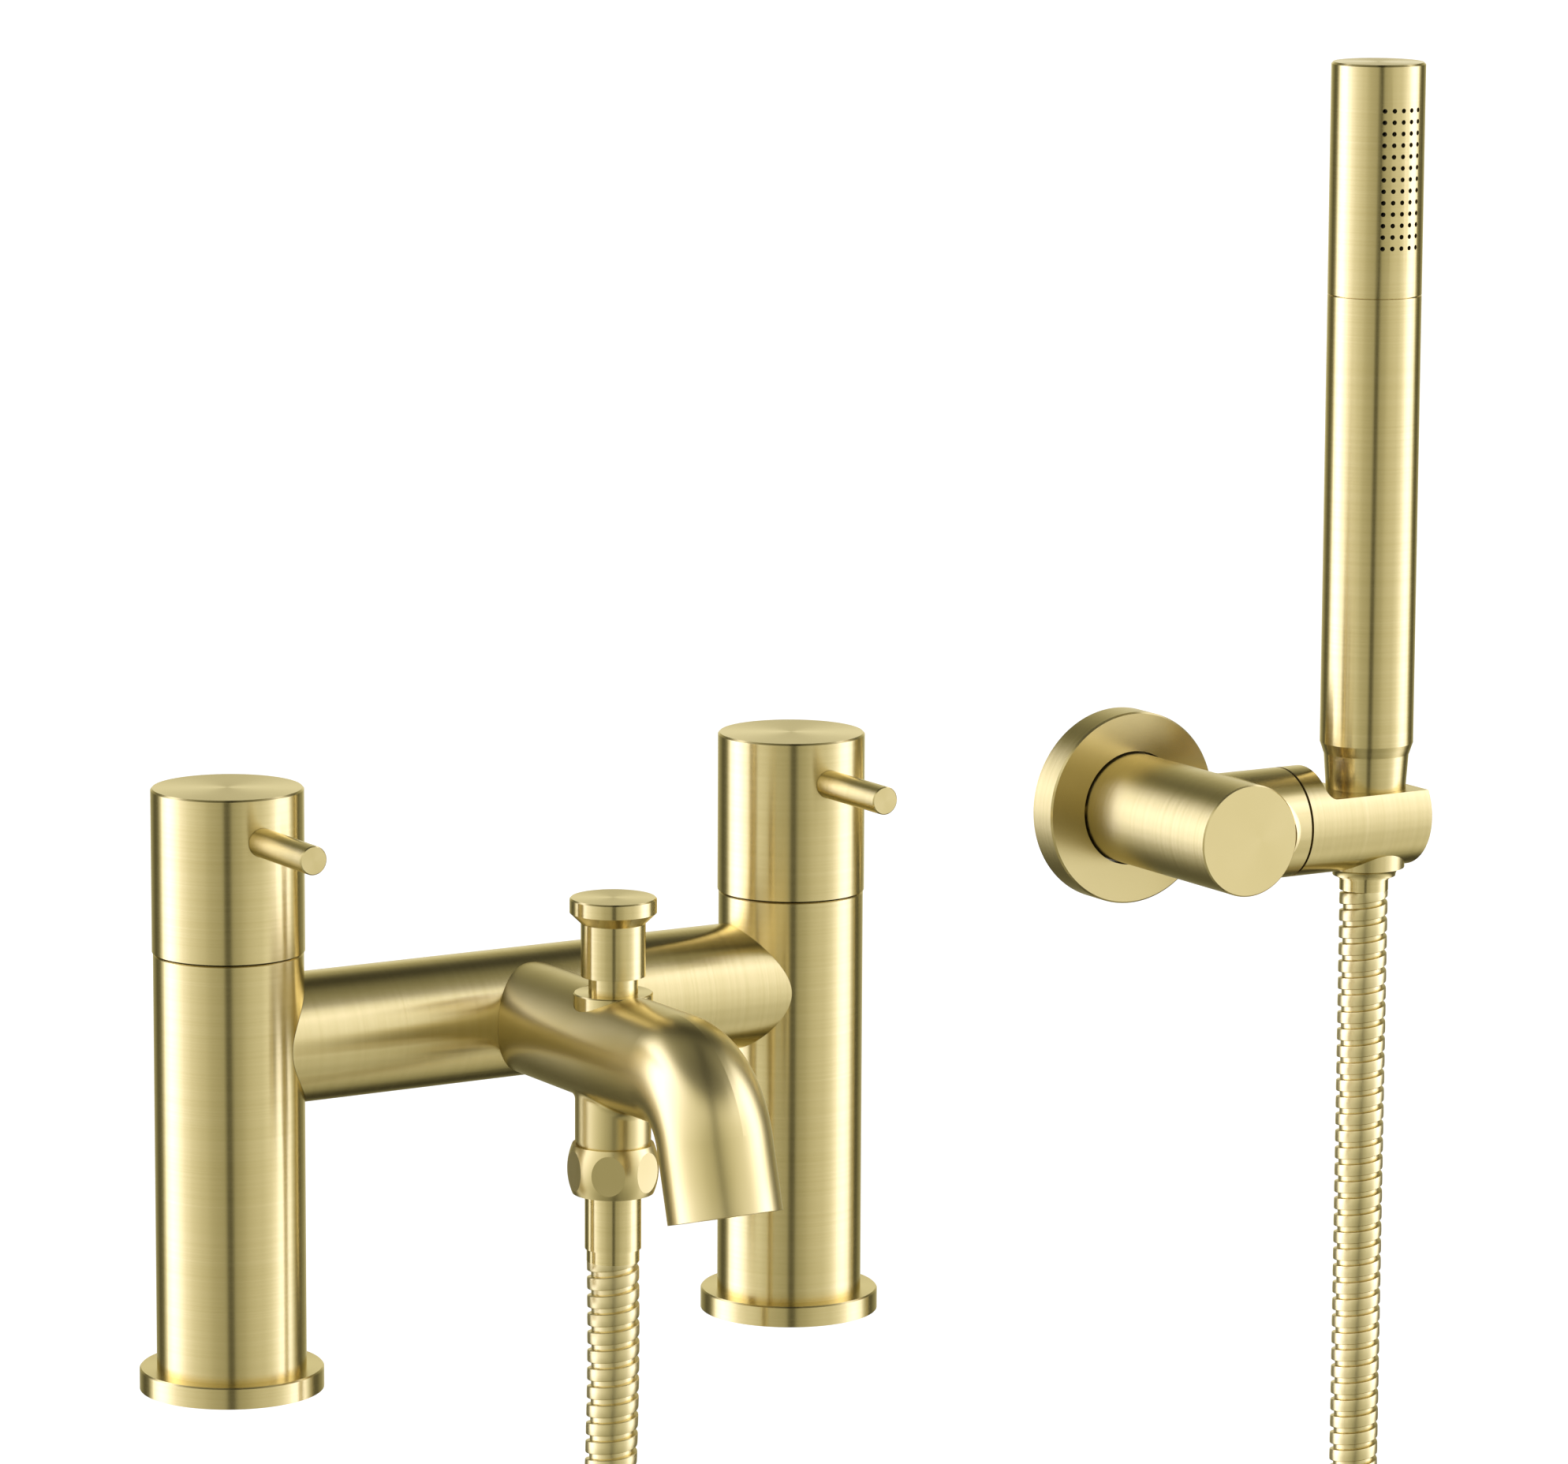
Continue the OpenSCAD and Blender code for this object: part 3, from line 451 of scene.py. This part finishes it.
def arm_fillet():
    """Between the bracket's post, along Y, and its side arm, along +X."""
    ball, post_r, arm_r = 0.0045, 0.0166, 0.01635
    inside = 0.0003      # how far the hidden corner lies inside the post and the arm
    around = 128
    places, corners = [], []
    for i in range(around):
        a = 2 * math.pi * i / around
        up, y = (arm_r + ball) * math.sin(a), (arm_r + ball) * math.cos(a)
        x = math.sqrt((post_r + ball) ** 2 - up * up)
        to_arm = Vector((0, -y, -up)).normalized()
        to_post = Vector((-x, 0, -up)).normalized()
        places.append((Vector((POST_X + x, ARM.y + y, ARM.z + up)), to_arm, to_post))
        up, y = (arm_r - inside) * math.sin(a), (arm_r - inside) * math.cos(a)
        x = math.sqrt((post_r - inside) ** 2 - up * up)
        corners.append(Vector((POST_X + x, ARM.y + y, ARM.z + up)))
    fillet_ring("arm_fillet", places, corners, ball)


boss_fillet()
arm_fillet()


# ---- floor and light ----

TO_CAMERA = (-math.sin(YAW), -math.cos(YAW), 0.0)
TO_RIGHT = (math.cos(YAW), -math.sin(YAW), 0.0)
LIGHT_STRENGTH = 3.85
# The light's colour where the studio is dim, warmer, and where it is bright, cooler
DIM_TINT, BRIGHT_TINT = (1.0, 0.98, 0.68), (1.0, 1.02, 1.22)
# Studio brightness by how far a direction faces the camera, from straight behind (0) to the camera (1)
AROUND_LIGHT = [(0.0, 0.28), (0.07, 0.12), (0.15, 0.04), (0.23, 0.06), (0.28, 0.28), (0.35, 0.80),
                (0.45, 1.0), (0.53, 0.86), (0.60, 0.60), (0.70, 0.45), (0.80, 0.35), (0.90, 0.28),
                (0.965, 0.20), (1.0, 0.17)]
# The same by height, from straight down (0) to straight up (1)
HEIGHT_LIGHT = [(0.0, 0.10), (0.13, 0.30), (0.25, 0.50), (0.35, 0.70), (0.46, 0.86), (0.60, 1.0),
                (0.78, 1.0), (0.85, 0.62), (0.90, 0.11), (1.0, 0.06)]
# And by how far it points to the side, from the left (0) to the right (1): a slit between two front lights
SIDE_LIGHT = [(0.0, 1.0), (0.47, 1.0), (0.505, 0.22), (0.555, 0.22), (0.60, 0.90), (0.80, 0.92),
              (0.93, 0.80), (1.0, 0.85)]


def ramp_of(tree, factor, stops):
    """A grey that follows the stops, each a place and a value, smoothly."""
    ramp = add(tree, "ShaderNodeValToRGB")
    ramp.color_ramp.interpolation = "EASE"
    ends = ramp.color_ramp.elements
    for (place, value), stop in zip((stops[0], stops[-1]), (ends[0], ends[1])):
        stop.position, stop.color = place, (value, value, value, 1)
    for place, value in stops[1:-1]:
        stop = ends.new(place)
        stop.color = (value, value, value, 1)
    tree.links.new(factor, ramp.inputs["Fac"])
    return ramp.outputs["Color"]


def make_world():
    """Two tall soft lights at the sides, a dimmer front with a dark slit in it, and a dark ceiling.
    What the camera sees directly is plain white."""
    world = bpy.data.worlds.new("studio")
    bpy.context.scene.world = world
    world.use_nodes = True
    tree = world.node_tree
    way = add(tree, "ShaderNodeTexCoord").outputs["Generated"]

    def facing(direction):
        """How far a ray points in the direction, from 0 for away from it to 1 for straight along it."""
        dot = add(tree, "ShaderNodeVectorMath", operation="DOT_PRODUCT")
        tree.links.new(way, dot.inputs[0])
        dot.inputs[1].default_value = direction
        return ranged(tree, dot.outputs["Value"], 0, 1, start=-1, end=1)

    front = facing(TO_CAMERA)
    around = ramp_of(tree, front, AROUND_LIGHT)
    height = ramp_of(tree, facing((0, 0, 1)), HEIGHT_LIGHT)
    behind = ranged(tree, front, 1, 0, start=0.3, end=0.45)      # fills the slit in, away from the front
    side = joined(tree, "MAXIMUM", ramp_of(tree, facing(TO_RIGHT), SIDE_LIGHT), behind)
    level = joined(tree, "MULTIPLY", joined(tree, "MULTIPLY", around, height), side)
    tint = mixed(tree, ranged(tree, level, 0, 1, start=0.1, end=0.5), DIM_TINT, BRIGHT_TINT)
    tinted = add(tree, "ShaderNodeVectorMath", operation="MULTIPLY")
    tree.links.new(level, tinted.inputs[0])
    tree.links.new(tint, tinted.inputs[1])
    studio = tree.nodes["Background"]
    studio.inputs["Strength"].default_value = LIGHT_STRENGTH
    tree.links.new(tinted.outputs["Vector"], studio.inputs["Color"])
    backdrop = add(tree, "ShaderNodeBackground", _Color=(1, 1, 1, 1))
    seen = add(tree, "ShaderNodeLightPath").outputs["Is Camera Ray"]
    choose = add(tree, "ShaderNodeMixShader")
    tree.links.new(seen, choose.inputs["Fac"])
    tree.links.new(studio.outputs[0], choose.inputs[1])
    tree.links.new(backdrop.outputs[0], choose.inputs[2])
    tree.links.new(choose.outputs[0], tree.nodes["World Output"].inputs["Surface"])


def make_floor():
    """A plain white floor far below the deck, where the hose lies. It doesn't show in the brass."""
    half, shade, glow, white = 40.0, (0.25, 0.25, 0.25, 1), 0.9, (1, 1, 1, 1)
    corners = [(x, y, FLOOR_Z) for x, y in ((-half, -half), (half, -half), (half, half), (-half, half))]
    mesh = bpy.data.meshes.new("floor")
    mesh.from_pydata(corners, [], [(0, 1, 2, 3)])
    floor = bpy.data.objects.new("floor", mesh)
    bpy.context.scene.collection.objects.link(floor)
    floor.visible_glossy = False
    material, tree, shader = node_material("floor_white")
    shader.inputs["Base Color"].default_value = shade
    shader.inputs["Roughness"].default_value = 0.9
    shader.inputs["Emission Color"].default_value = white
    shader.inputs["Emission Strength"].default_value = glow
    mesh.materials.append(material)


make_floor()
make_world()
bpy.context.scene.view_settings.view_transform = "Standard"
